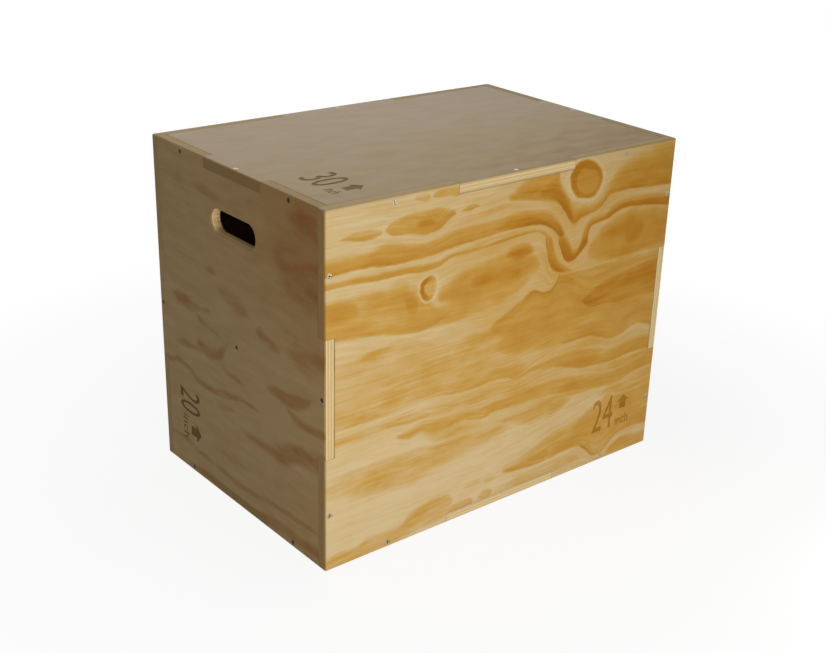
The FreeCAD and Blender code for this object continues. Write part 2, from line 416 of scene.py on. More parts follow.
# %% Bands of the front board
front_bands = [
    # Strip under the top edge
    lens((158, 10), (262, 11), [(168, 3), (186, 3), (196, 9), (206, 3), (250, 2)],
         [(172, 15), (186, 18), (196, 11), (206, 16), (228, 17), (250, 19)],
         top=0.38, foot=0.42, soft=4, edge=4),
    # Chain of lenses, with a dark eye in the second one
    dict(upper=[(0, 46), (20, 47), (38, 43), (55, 40), (80, 41), (98, 46), (106, 48), (114, 42),
                (130, 35), (155, 31), (200, 30), (220, 33), (240, 40), (252, 46), (262, 42), (275, 37),
                (290, 39), (302, 44)],
         lower=[(0, 49), (20, 50), (38, 53), (60, 57), (82, 58), (98, 54), (106, 51), (118, 58),
                (150, 62), (168, 66), (186, 70), (203, 68), (217, 66), (228, 58), (242, 50), (252, 47),
                (262, 47), (276, 48), (290, 44), (302, 44)], top=0.44, foot=0.66, rim=0.04),
    lens((156, 54), (428, 141),
         [(168, 46), (185, 43), (204, 47), (218, 54), (348, 141), (368, 130), (390, 127), (410, 130)],
         [(168, 60), (188, 63), (206, 60), (218, 54), (348, 141), (368, 151), (390, 156), (410, 152)],
         top=0.92, foot=0.86, soft=16, edge=17),
    lens((210, 45), (252, 47), [(224, 37), (240, 40)], [(224, 54), (240, 51)],
         top=0.60, foot=0.64, soft=14, edge=8),
    # Band round the knot, with the dark corner to its right
    lens((348, 45), (606, 76),
         [(362, 37), (380, 24), (400, 9), (418, 2), (464, 2), (470, 18), (474, 34), (481, 48), (491, 60),
          (503, 73), (516, 83), (530, 87), (548, 88), (564, 84), (578, 77), (592, 74)],
         knot_foot[8:26], top=0.56, foot=0.80, rim=0.05, soft=24, edge=8),
    dict(upper=[(560, 100), (578, 76), (596, 50), (620, 30), (660, 12), (762, 4)],
         lower=[(560, 100), *knot_foot[23:]], top=0.56, foot=0.86, rim=0.08, soft=36, edge=6),
    lens((370, 46), (516, 104),
         [(385, 44), (402, 43), (418, 40), (434, 32), (448, 22), (458, 17), (466, 20), (473, 34),
          (482, 47), (493, 61), (505, 80)],
         [(385, 50), (400, 53), (430, 57), (450, 61), (464, 66), (476, 74), (487, 86), (496, 98),
          (505, 107)], top=0.86, foot=1.06, soft=22, edge=7),
    # Band along the dip, and its dark end
    dict(upper=[(0, 76), (40, 75), (80, 76), (96, 72), (115, 70), (135, 74), (160, 81), (190, 86),
                (215, 81), (240, 75), (280, 72), (330, 70), (380, 68), (420, 72), (445, 78), (460, 86),
                (472, 97), (480, 107), (488, 118), (494, 128)],
         lower=[*dip_foot[:15], (474, 127), (482, 132), (490, 131), (494, 128)],
         top=0.54, foot=0.79, rim=0.05, soft=15, edge=5),
    lens((310, 88), (494, 128),
         [(350, 79), (400, 77), (440, 86), (462, 94), (474, 102), (482, 111), (489, 120)],
         [(350, 96), (400, 97), (424, 99), (440, 103), (455, 110), (468, 120), (476, 128), (484, 132)],
         top=0.74, foot=1.12, soft=12, edge=4),
    dict(upper=[(474, 128), (482, 126), (492, 130), (501, 139), (508, 150), (514, 160), (519, 163),
                (525, 161), (530, 153), (534, 143), (537, 132), (542, 121), (552, 114), (575, 111),
                (592, 106), (606, 98), (625, 92), (645, 90), (680, 92), (720, 94), (762, 97)],
         lower=dip_foot[15:], top=0.66, foot=1.10, soft=18, edge=4),
    lens((536, 153), (555, 152), [(545, 146)], [(545, 161)], top=0.95, foot=0.95),
    # Thin band under it
    dict(upper=[(0, 111), (50, 111), (80, 113), (150, 115), (190, 117), (215, 116), (232, 112),
                (260, 111), (300, 111), (330, 109), (360, 107), (400, 105), (425, 106), (440, 110),
                (450, 117), (458, 127), (465, 142), (471, 158), (478, 168), (488, 177), (500, 186),
                (524, 197)],
         lower=[*thin_foot[:21], (497, 199), (510, 200), (524, 197)],
         top=0.46, foot=0.72, soft=9, edge=5),
    lens((442, 120), (514, 194), [(458, 125), (467, 140), (473, 156), (480, 169), (489, 178), (499, 186)],
         [(449, 138), (454, 157), (458, 171), (465, 183), (475, 191), (487, 196), (498, 198)],
         top=0.64, foot=0.94, soft=12, edge=5),
    # Golden field on the left, with darker patches
    dict(upper=[(0, 140), (60, 138), (110, 143), (150, 145), (176, 152), (192, 176), (215, 193),
                (270, 204)],
         lower=[(0, 206), (35, 210), (60, 213), (100, 219), (150, 228), (180, 231), (220, 226),
                (270, 204)], top=0.48, foot=0.55, rim=0.12, soft=14, edge=7),
    lens((150, 204), (440, 187), [(200, 193), (260, 190), (340, 186), (400, 182)],
         [(200, 232), (250, 234), (300, 231), (350, 224), (400, 210)],
         top=0.44, foot=0.42, soft=18, edge=16),
    dict(upper=[(0, 144), (30, 142), (50, 150), (76, 168), (100, 160), (120, 146), (145, 144), (158, 152),
                (170, 162), (186, 186), (440, 170), (696, 150), (725, 132), (762, 126)],
         lower=[(0, 192), (30, 192), (50, 186), (76, 168), (100, 160), (125, 172), (146, 180), (156, 202),
                (168, 208), (186, 186), (440, 170), (696, 150), (725, 167), (745, 174), (762, 172)],
         top=0.80, foot=0.74, soft=32, edge=32),
    # Golden field beside it
    lens((205, 176), (452, 174),
         [(225, 162), (250, 152), (290, 142), (330, 136), (370, 128), (390, 129), (408, 137), (426, 152)],
         [(225, 196), (260, 206), (330, 204), (380, 199), (418, 190)],
         top=0.54, foot=0.60, soft=26, edge=26),
    lens((255, 175), (420, 174), [(300, 156), (345, 152), (380, 158)],
         [(300, 190), (350, 194), (390, 190)], top=1.0, foot=0.94, soft=34, edge=34),
    # Golden field on the right
    dict(upper=[(540, 178), (560, 154), (580, 138), (602, 128), (622, 120), (646, 116), (690, 118),
                (762, 127)],
         lower=[(540, 178), (562, 186), (580, 193), (600, 199), (640, 203), (700, 201), (762, 203)],
         top=0.64, foot=0.68, soft=26, edge=30),
    lens((562, 152), (716, 150), [(585, 136), (615, 129), (640, 123), (660, 118), (684, 126)],
         [(585, 164), (620, 168), (642, 172), (656, 188), (680, 186)],
         top=0.94, foot=0.94, soft=36, edge=38),
    dict(upper=[(582, 189), (610, 180), (650, 174), (700, 172), (762, 178)],
         lower=[(582, 189), (610, 197), (650, 199), (700, 197), (762, 193)],
         top=0.74, foot=0.76, soft=18, edge=8),
    dict(upper=[(486, 211), (510, 200), (560, 203), (600, 201), (650, 203), (762, 201)],
         lower=[(486, 211), (510, 228), (560, 252), (600, 252), (650, 242), (700, 238), (762, 232)],
         top=0.48, foot=0.50, soft=10, edge=14),
    # Field in the middle under a ragged line, fading out to the left
    lens((318, 266), (640, 270), [(345, 252), (368, 242), *field_foot[8:21], (600, 240)],
         [(345, 288), (375, 308), (420, 324), (500, 320), (560, 314), (600, 300)],
         top=0.62, foot=0.48, soft=7, edge=28),
    lens((225, 284), (470, 270), [(270, 262), (320, 254), (360, 246), (385, 240), (420, 240)],
         [(270, 306), (330, 322), (380, 330), (420, 324)], top=0.42, foot=0.42, soft=34, edge=34),
    lens((390, 233), (490, 196),
         [(412, 221), (428, 215), (440, 219), (452, 224), (464, 224), (474, 219), (482, 208)],
         [(412, 230), (428, 224), (440, 228), (452, 233), (464, 233), (474, 228), (484, 216)],
         top=0.88, foot=0.74, soft=4, edge=8),
    # Dark band on the right
    dict(upper=[(535, 262), (570, 247), (600, 236), (650, 226), (700, 222), (762, 217)],
         lower=[(535, 262), (570, 280), *middle_foot[5:]], top=0.80, foot=0.84, soft=8, edge=5),
    # Golden field with a wavy foot
    dict(upper=[(330, 300), (360, 280), (440, 268), (560, 268), (640, 272), (762, 272)],
         lower=[(330, 300), (360, 322), (400, 332), (450, 338), *wavy_foot[10:]],
         top=0.52, foot=0.48, soft=20, edge=22),
    dict(upper=[(480, 330), (520, 318), (560, 300), (600, 296), (640, 300), (700, 300), (762, 310)],
         lower=[(480, 330), *wavy_foot[10:]], top=0.50, foot=0.58, rim=0.09, soft=16, edge=5),
    # Light field on the left
    dict(upper=[(0, 246), (45, 248), (60, 243), (100, 239), (135, 230), (160, 236), (220, 258),
                (300, 266), (350, 292), (390, 318), (420, 345), (440, 366)],
         lower=[*wavy_foot[:8], (397, 374), (420, 374), (440, 366)],
         top=0.28, foot=0.38, rim=0.06, soft=16, edge=5),
    lens((45, 251), (145, 240), [(75, 242), (110, 238)], [(75, 260), (110, 258)],
         top=0.40, foot=0.36, soft=10, edge=18),
    # The same line goes on to the right
    lens((390, 366), (640, 374), [(450, 357), (520, 355), (590, 362)],
         [(450, 374), (520, 378), (590, 382)], top=0.40, foot=0.40, soft=10, edge=10),
    dict(upper=[(470, 373), (505, 368), (540, 367), (580, 371), (620, 379), (650, 378), (680, 371),
                (720, 370), (762, 371)],
         lower=[(470, 373), (505, 380), (530, 388), (560, 396), (600, 401), (640, 403), (690, 400),
                (762, 403)], top=0.46, foot=0.70, soft=13, edge=6),
    # Short soft band at the left edge
    dict(upper=[(0, 372), (100, 372), (160, 371), (200, 378), (218, 385)],
         lower=[(0, 388), (60, 389), (120, 387), (170, 389), (200, 391), (218, 385)],
         top=0.36, foot=0.40, edge=8),
    # Ragged band across
    dict(upper=[(128, 406), (150, 402), (180, 398), (240, 398), (320, 401), (400, 399), (470, 397),
                (520, 401), (560, 408), (600, 416), (640, 424), (680, 420), (720, 414), (762, 404)],
         lower=ragged_foot[1:], top=0.48, foot=0.58, rim=0.02, soft=13, edge=9),
    dict(upper=[(540, 403), (600, 403), (680, 402), (762, 398)],
         lower=[(540, 403), (600, 420), (680, 424), (762, 412)], top=0.35, foot=0.36, edge=12),
    dict(upper=[(180, 427), (240, 430), (330, 436), (400, 438), (460, 440), (520, 442), (555, 450),
                (606, 464), (640, 453), (680, 452), (720, 444), (762, 440)],
         lower=[(180, 427), (220, 440), (300, 446), (380, 456), (430, 472), (480, 476), (515, 466),
                (555, 450), (606, 464), (640, 480), (690, 482), (762, 480)],
         top=0.45, foot=0.45, soft=14, edge=16),
    # Faint patches
    dict(upper=[(0, 448), (40, 440), (80, 439), (140, 440), (240, 444), (300, 442), (340, 444),
                (420, 456)],
         lower=[(0, 474), (30, 486), (60, 496), (110, 504), (160, 506), (220, 502), (270, 496),
                (310, 488), (355, 478), (420, 456)], top=0.47, foot=0.40, soft=20, edge=28),
    lens((150, 396), (690, 412), [(220, 372), (300, 364), (400, 374), (500, 380), (600, 396)],
         [(220, 440), (300, 456), (400, 462), (500, 458), (600, 440)],
         top=0.26, foot=0.36, soft=24, edge=20),
    # Tongue at the lower right
    dict(upper=tongue_top[2:],
         lower=[(372, 549), *tongue_foot[5:]], top=0.50, foot=0.54, rim=0.08, soft=17, edge=6),
    lens((420, 545), (515, 542), [(450, 536), (480, 532)], [(450, 556), (480, 560)],
         top=0.68, foot=0.66, soft=20, edge=12),
    lens((562, 559), (628, 595), [(582, 561), (600, 573), (614, 587)],
         [(580, 567), (598, 581), (610, 592)], top=0.85, foot=0.85),
    # Foot of the board
    dict(upper=[(0, 582), (25, 580), (55, 585), (85, 572), (120, 576), (140, 577), (158, 571), (166, 562),
                (185, 557), (215, 551), (245, 549), (258, 554), (268, 570), (640, 599), (665, 581),
                (700, 575), (762, 578)],
         lower=[(0, 613), (55, 613), (120, 611), (170, 606), (220, 600), (250, 592), (260, 580),
                (268, 570), (640, 599), (665, 607), (700, 611), (762, 611)],
         top=0.45, foot=0.45, soft=13, edge=14),
    lens((238, 584), (360, 582),
         [(255, 577), (290, 575), (306, 577), (314, 584), (324, 580), (338, 569), (350, 574)],
         [(255, 590), (290, 595), (306, 593), (314, 585), (324, 586), (338, 593), (350, 590)],
         top=0.47, foot=0.50, soft=6, edge=6),
    lens((280, 553), (590, 590),
         [(300, 546), (322, 546), (332, 553), (342, 550), (358, 552), (368, 556), (380, 580), (430, 569),
          (500, 566), (560, 572)],
         [(300, 558), (322, 558), (332, 555), (342, 562), (358, 561), (368, 556), (380, 580), (430, 592),
          (500, 594), (560, 592)], top=0.29, foot=0.29, edge=6),
]
print(len(front_bands), "bands on the front board")

# %% Figure of the front board
face_length = (cad_high.x - cad_low.x) * 1000
face_depth = (cad_high.y - cad_low.y) * 1000
face_height = (cad_high.z - cad_low.z) * 1000
drawing_height = 613.5
drawing_shift = 2.5, 1.5
front_blur = 1.4


def waver(tree, along, down, reach, sizes, seed):
    """Slow noise that bends a drawn line by up to the reach, in millimetres."""
    return calc(tree, "MULTIPLY_ADD", noise(tree, along, down, 0.0, sizes, 3.0, seed), 2 * reach, -reach)


def drawn_figure(tree, along, down, size, bands, seed, blur=1.0):
    """Late wood of all bands together, with lines that waver a little."""
    bent_along = calc(tree, "ADD", along, waver(tree, along, down, 4.0, (50.0, 30.0, 1.0), seed))
    bent_down = calc(tree, "ADD", down, waver(tree, along, down, 2.5, (60.0, 25.0, 1.0), seed + 1))
    bent_down = calc(tree, "ADD", bent_down, waver(tree, along, down, 1.6, (11.0, 4.0, 1.0), seed + 2))
    along_share = calc(tree, "DIVIDE", bent_along, size[0])
    down_share = calc(tree, "DIVIDE", bent_down, size[1])
    late = band_amount(tree, along_share, down_share, size, blur=blur, **bands[0])
    for shape in bands[1:]:
        more = band_amount(tree, along_share, down_share, size, blur=blur, **shape)
        late = calc(tree, "MAXIMUM", late, more)
    return late, bent_along, bent_down


def ring_flow(tree, along, down, size, lines):
    """Millimetres from the top edge, bent so that they stay the same along each of the lines."""
    along_share = calc(tree, "DIVIDE", along, size[0])
    down_share = calc(tree, "DIVIDE", down, size[1])
    flow = 0.0
    above, above_middle = 0.0, 0.0
    for points in lines:
        below = ring_line(tree, along_share, size, points)
        below_middle = sum(height for place, height in points) / len(points)
        step = below_middle - above_middle
        inputs = {"Value": down_share, "From Min": above, "From Max": below, "To Max": step}
        flow = calc(tree, "ADD", flow, add_node(tree, "ShaderNodeMapRange", inputs).outputs[0])
        above, above_middle = below, below_middle
    inputs = {"Value": down_share, "From Min": above, "From Max": 1.0, "To Max": size[1] - above_middle}
    return calc(tree, "ADD", flow, add_node(tree, "ShaderNodeMapRange", inputs).outputs[0])


front_knots = [
    {"Middle along": 535, "Middle down": 39, "Half width": 41, "Half height": 33, "Turn": radians(28),
     "Weak": 0.85, "Low": 1.0, "Fill": 1.1, "Clear": 0.85},
    {"Middle along": 196, "Middle down": 161, "Half width": 18, "Half height": 20, "Turn": 0.0,
     "Weak": 0.10, "Low": 0.1, "Fill": 0.60, "Clear": 0.62},
]


def front_figure(tree, along, down, seed):
    """Bands and knots of the front, with fine rings and cloudy patches that follow the drawn lines."""
    size = face_length, drawing_height
    along = calc(tree, "SUBTRACT", along, drawing_shift[0])
    down = calc(tree, "SUBTRACT", down, drawing_shift[1])
    late, bent_along, bent_down = drawn_figure(tree, along, down, size, front_bands, seed, front_blur)
    flow = ring_flow(tree, bent_along, bent_down, size, front_lines)
    rings = noise(tree, bent_along, flow, 0.0, (130.0, 5.0, 1.0), 4.0, seed + 3)
    patches = noise(tree, bent_along, flow, 0.0, (75.0, 26.0, 1.0), 3.0, seed + 4)
    late = calc(tree, "MULTIPLY", late, fade(tree, patches, 0.3, 0.7, 0.88, 1.20))
    below_top = fade(tree, down, 20.0, 90.0, 0.3, 1.0)
    upper_part = calc(tree, "MULTIPLY", below_top, fade(tree, down, 390.0, 480.0, 1.0, 0.2))
    to_right = fade(tree, along, 60.0, 420.0)
    golden_span = calc(tree, "MULTIPLY", to_right, fade(tree, along, 600.0, 760.0, 1.0, 0.6))
    golden_side = calc(tree, "MULTIPLY", golden_span, upper_part)
    late = calc(tree, "MAXIMUM", late, calc(tree, "MULTIPLY_ADD", golden_side, 0.12, 0.13))
    late = calc(tree, "MULTIPLY_ADD", golden_side, 0.12, late)
    left_half = fade(tree, along, 300.0, 560.0, 1.0, 0.0)
    pale_foot = calc(tree, "MULTIPLY", left_half, fade(tree, down, 380.0, 440.0))
    late = calc(tree, "MULTIPLY_ADD", pale_foot, -0.11, late)
    late = calc(tree, "ADD", late, calc(tree, "MULTIPLY_ADD", rings, 0.55, -0.275))
    late = calc(tree, "ADD", late, calc(tree, "MULTIPLY_ADD", patches, 0.45, -0.225))
    lumps = 22.0, 16.0, 1.0
    rough_along = calc(tree, "ADD", bent_along, waver(tree, along, down, 5.0, lumps, seed + 5))
    rough_down = calc(tree, "ADD", bent_down, waver(tree, along, down, 5.0, lumps, seed + 6))
    for shape in front_knots:
        zones = use_group(tree, knot, {"Along": rough_along, "Down": rough_down, **shape})
        kept = calc(tree, "SUBTRACT", 1.0, zones["Halo"])
        late = calc(tree, "MULTIPLY", late, kept)
        core = calc(tree, "MULTIPLY", zones["Core"], fade(tree, rings, 0.3, 0.7, 0.62, 0.84))
        ring = calc(tree, "MULTIPLY", zones["Ring"], fade(tree, rings, 0.3, 0.7, 1.08, 1.28))
        late = calc(tree, "MAXIMUM", late, calc(tree, "MAXIMUM", core, ring))
    return late


print(len(front_knots), "knots on the front board")

# %% [markdown]
# ## The other boards
# The left board has a quieter veneer with a few reddish wisps, which are drawn in the same way. The
# top is almost plain. The boards that the photograph doesn't show get rings from noise: the height
# across the board is bent by slow noise and cut into steps, and each step fades from pale to dark.

# %% Wisps of the left board
left_bands = [
    # Brush stroke over the middle screw, with its tail
    lens((40, 272), (178, 270), [(60, 266), (80, 264), (110, 268), (140, 272), (165, 266)],
         [(60, 282), (85, 286), (100, 290), (115, 286), (130, 281), (150, 276)],
         top=0.80, foot=0.70, soft=5, edge=6),
    lens((118, 282), (225, 306), [(135, 289), (155, 295), (190, 299)],
         [(135, 297), (155, 302), (190, 306)], top=0.55, foot=0.55, soft=3),
    # Lens that climbs to the right, and wisps beside it
    lens((118, 346), (236, 309), [(130, 335), (160, 336), (185, 334), (205, 322), (222, 311)],
         [(140, 351), (160, 358), (180, 353), (200, 346), (215, 332)],
         top=0.75, foot=0.75, soft=6, edge=6),
    lens((35, 363), (165, 352), [(60, 357), (80, 351), (100, 352), (130, 348)],
         [(60, 367), (85, 368), (100, 362), (130, 357)], top=0.55, foot=0.55, soft=4, edge=4),
    lens((185, 350), (295, 366), [(220, 356), (250, 360)], [(220, 365), (250, 369)],
         top=0.5, foot=0.5, soft=4, edge=4),
    # Lens at the front edge
    lens((335, 343), (482, 318), [(360, 336), (400, 328), (440, 325)],
         [(370, 349), (400, 353), (430, 351), (455, 339)], top=0.85, foot=0.75, soft=6, edge=7),
    dict(upper=[(390, 352), (420, 358), (450, 362), (480, 360), (508, 357)],
         lower=[(390, 352), (415, 370), (440, 375), (480, 374), (508, 371)],
         top=0.6, foot=0.6, soft=6, edge=6),
    # Long wavy line
    dict(upper=[(0, 403), (20, 403), (40, 397), (55, 393), (80, 396), (100, 401), (120, 409), (150, 411),
                (180, 409), (200, 403), (220, 401), (240, 397), (260, 391), (290, 391), (350, 398)],
         lower=[(0, 418), (20, 416), (40, 408), (55, 403), (80, 407), (100, 413), (120, 422), (150, 423),
                (180, 420), (200, 416), (220, 413), (240, 407), (260, 401), (290, 400), (350, 398)],
         top=0.65, foot=0.70, soft=4, edge=4),
    lens((180, 432), (250, 428), [(205, 426), (230, 424)], [(195, 440), (220, 438)], top=0.5, foot=0.5),
    # Wedge under it at the front edge
    dict(upper=[(225, 456), (300, 450), (350, 443), (380, 432), (410, 419), (430, 411), (460, 406),
                (508, 401)],
         lower=[(225, 456), (300, 461), (350, 461), (380, 466), (400, 462), (420, 450), (450, 442),
                (508, 436)], top=0.75, foot=0.65, soft=8, edge=8),
    # Faint lines near the foot
    lens((220, 490), (340, 491), [(290, 487)], [(290, 495)], top=0.35, foot=0.35),
    lens((150, 530), (300, 526), [(190, 522), (260, 518)], [(190, 534), (260, 530)],
         top=0.3, foot=0.3, soft=6, edge=6),
    dict(upper=[(0, 552), (60, 550), (110, 554), (180, 558), (250, 562), (300, 558), (350, 551),
                (420, 547), (508, 543)],
         lower=[(0, 559), (60, 557), (110, 563), (180, 568), (250, 571), (300, 567), (350, 560),
                (420, 556), (508, 551)], top=0.5, foot=0.5, soft=4, edge=4),
    dict(upper=[(60, 598), (120, 591), (190, 592), (280, 594), (330, 586), (380, 581), (430, 579),
                (508, 577)],
         lower=[(60, 598), (120, 606), (190, 604), (280, 596), (330, 600), (400, 599), (508, 596)],
         top=0.75, foot=0.65, soft=5, edge=6),
    # Shaded corner at the upper right
    dict(upper=[(360, 100), (390, 88), (430, 84), (508, 82)],
         lower=[(360, 100), (390, 130), (430, 160), (508, 166)], top=0.45, foot=0.60, soft=20, edge=20),
    dict(upper=[(415, 150), (440, 138), (508, 134)],
         lower=[(415, 150), (440, 158), (508, 160)], top=0.8, foot=0.7, soft=6, edge=8),
    dict(upper=[(400, 30), (440, 16), (508, 10)],
         lower=[(400, 30), (440, 56), (508, 62)], top=0.45, foot=0.55, soft=12, edge=14),
    # Small strokes
    lens((312, 252), (400, 266), [(328, 243), (345, 250), (365, 256)],
         [(328, 262), (345, 266), (365, 270)], top=0.65, foot=0.6, soft=6, edge=6),
    lens((190, 222), (305, 236), [(225, 210), (270, 214)], [(225, 234), (270, 246)],
         top=0.35, foot=0.35, soft=10, edge=10),
    dict(upper=[(395, 250), (440, 228), (508, 222)],
         lower=[(395, 250), (440, 272), (508, 264)], top=0.4, foot=0.45, soft=14, edge=12),
    lens((155, 192), (205, 192), [(180, 184)], [(180, 199)], top=0.5, foot=0.5),
    lens((50, 56), (245, 62), [(85, 49), (120, 54), (165, 48), (200, 52)],
         [(85, 62), (120, 56), (165, 63), (200, 64)], top=0.4, foot=0.4, soft=5, edge=5),
    dict(upper=[(0, 255), (45, 260)],
         lower=[(0, 264), (45, 260)], top=0.45, foot=0.45),
]
print(len(left_bands), "wisps on the left board")

# %% Figures of the other boards
left_blur = 2.0


def left_figure(tree, along, down, seed):
    """Wisps of the left end, with painted shade that browns its upper front corner."""
    late = drawn_figure(tree, along, down, (face_depth, drawing_height), left_bands, seed, left_blur)[0]
    patches = noise(tree, along, down, 0.0, (60.0, 18.0, 1.0), 4.0, seed + 4)
    late = calc(tree, "MULTIPLY", late, fade(tree, patches, 0.3, 0.7, 0.38, 0.85))
    # Painted shade: the upper part, most towards the front edge, is pushed along the palette to browner,
    # darker wood.
    upper_part = fade(tree, down, 0.0, 420.0, 1.0, 0.0)
    shade = calc(tree, "MULTIPLY", upper_part, fade(tree, along, 120.0, face_depth, 0.10, 0.50))
    late = calc(tree, "ADD", late, shade)
    lower_part = fade(tree, down, 250.0, 600.0)
    brown_foot = calc(tree, "MULTIPLY", lower_part, fade(tree, along, 100.0, face_depth, 0.0, 0.16))
    late = calc(tree, "ADD", late, brown_foot)
    return calc(tree, "ADD", late, calc(tree, "MULTIPLY_ADD", patches, 0.6, -0.20))


def plain_figure(tree, along, down, seed):
    """Faint cloudy streaks, with painted shade that makes the front right browner."""
    streaks = noise(tree, along, down, 0.0, (70.0, 30.0, 1.0), 4.0, seed)
    # Painted shade: the wood is made browner towards the front right.
    to_right = fade(tree, along, 0.0, face_length, 0.4, 1.0)
    painted_shade_front_right = calc(tree, "MULTIPLY", to_right, fade(tree, down, 100.0, face_depth, 0.0, 0.62))
    return calc(tree, "ADD", fade(tree, streaks, 0.3, 0.75, 0.0, 0.3), painted_shade_front_right)


def ringed_figure(tree, along, down, seed):
    """Rings from noise, each fading from pale to dark and ending at a sharp line."""
    ring_step = 74.0
    bend = waver(tree, along, down, 150.0, (420.0, 190.0, 1.0), seed)
    ripple = waver(tree, along, down, 9.0, (80.0, 22.0, 1.0), seed + 1)
    height = calc(tree, "ADD", calc(tree, "ADD", down, bend), ripple)
    step = calc(tree, "DIVIDE", height, ring_step)
    share = calc(tree, "FRACT", step)
    ring_seed = calc(tree, "ADD", calc(tree, "FLOOR", step), seed)
    chance = add_node(tree, "ShaderNodeTexWhiteNoise", {"W": ring_seed}, noise_dimensions="1D")
    rise = calc(tree, "MULTIPLY", fade(tree, share, 0.25, 0.96), fade(tree, share, 0.96, 1.0, 1.0, 0.0))
    late = calc(tree, "MULTIPLY", rise, calc(tree, "MULTIPLY_ADD", chance.outputs[0], 0.45, 0.26))
    rings = noise(tree, along, height, 0.0, (150.0, 4.5, 1.0), 3.0, seed + 3)
    return calc(tree, "ADD", late, calc(tree, "MULTIPLY_ADD", rings, 0.36, -0.16))


print("figures ready for the left, the plain and the ringed boards")

# %% [markdown]
# ## Plywood material
# Every board gets its own material, because its grain runs another way and its veneer differs.
# All are built by one function: it measures along the grain, across it and in from the outer face,
# picks the figure on the two faces and the layers in between, and adds joint lines, gloss and relief.
# Sawn ends that lie open have gone brown, edges that hands touch a little less, and on the front
# and the top a painted shade darkens the wood towards one end.

# %% Joints on each face
length_tab = 254.0
depth_tab = 169.4
height_tab = 203.2
# Further from the middle of a face than any edge
far = 400.0
inner_length = face_length / 2 - sheet_thickness
inner_depth = face_depth / 2 - sheet_thickness
inner_height = face_height / 2 - sheet_thickness


def box_between(low, high):
    """Middle and half of a span."""
    return (low + high) / 2, (high - low) / 2


face_joints = [
    (box_between(-length_tab / 2, length_tab / 2), box_between(inner_height, far)),
    (box_between(inner_length, far), box_between(-height_tab / 2, height_tab / 2)),
]
end_joints = [
    (box_between(-depth_tab / 2, depth_tab / 2), box_between(inner_height, far)),
    (box_between(inner_depth, far), box_between(height_tab / 2, far)),
]
deck_joints = [
    (box_between(length_tab / 2, far), box_between(inner_depth, far)),
    (box_between(inner_length, far), box_between(depth_tab / 2, inner_depth)),
]
print(len(face_joints + end_joints + deck_joints), "joint rectangles on three kinds of face")

# %% Where a point of a board lies
def distances(tree, ways, low, high):
    """Millimetres from a side of the box for each way: +x is from the low side, -z from the top."""
    place = add_node(tree, "ShaderNodeTexCoord").outputs["Object"]
    parts = add_node(tree, "ShaderNodeSeparateXYZ", {0: place}).outputs
    found = []
    for sign, axis in ways:
        number = "xyz".index(axis)
        start, scale = (low[number], 1000.0) if sign == "+" else (high[number], -1000.0)
        found.append(calc(tree, "MULTIPLY", calc(tree, "SUBTRACT", parts[number], start), scale))
    return found


def facing(tree, ways):
    """How squarely the surface faces along the grain and across it, from 0 to 1."""
    normal = add_node(tree, "ShaderNodeTexCoord").outputs["Normal"]
    parts = add_node(tree, "ShaderNodeSeparateXYZ", {0: normal}).outputs
    return [calc(tree, "ABSOLUTE", parts["xyz".index(axis)]) for sign, axis in ways[:2]]


def joint_mask(tree, along, across, size, joints):
    """Dark lines round the tabs of one face."""
    from_middle = []
    for way, length in zip((along, across), size):
        from_middle.append(calc(tree, "ABSOLUTE", calc(tree, "SUBTRACT", way, length / 2)))
    mask = None
    for (along_middle, along_half), (across_middle, across_half) in joints:
        inputs = {"Along": from_middle[0], "Across": from_middle[1], "Along middle": along_middle,
                  "Along half": along_half, "Across middle": across_middle, "Across half": across_half}
        line = use_group(tree, seam, inputs)["Mask"]
        mask = line if mask is None else calc(tree, "MAXIMUM", mask, line)
    return mask


print("helpers for places on a board ready")

# %% Plywood material
ramp_length = 1.3
# Brown of open sawn ends, also used for the painted shade at one end of the front and the top.
saw_and_shade_brown = srgb(122, 88, 24)
worn_brown = srgb(150, 122, 86)
edge_reach = 2
joint_strength = 0.55


def bare_material(name):
    """New material with an empty tree of nodes."""
    material = bpy.data.materials.new(name)
    material.use_nodes = True
    material.node_tree.nodes.clear()
    return material, material.node_tree


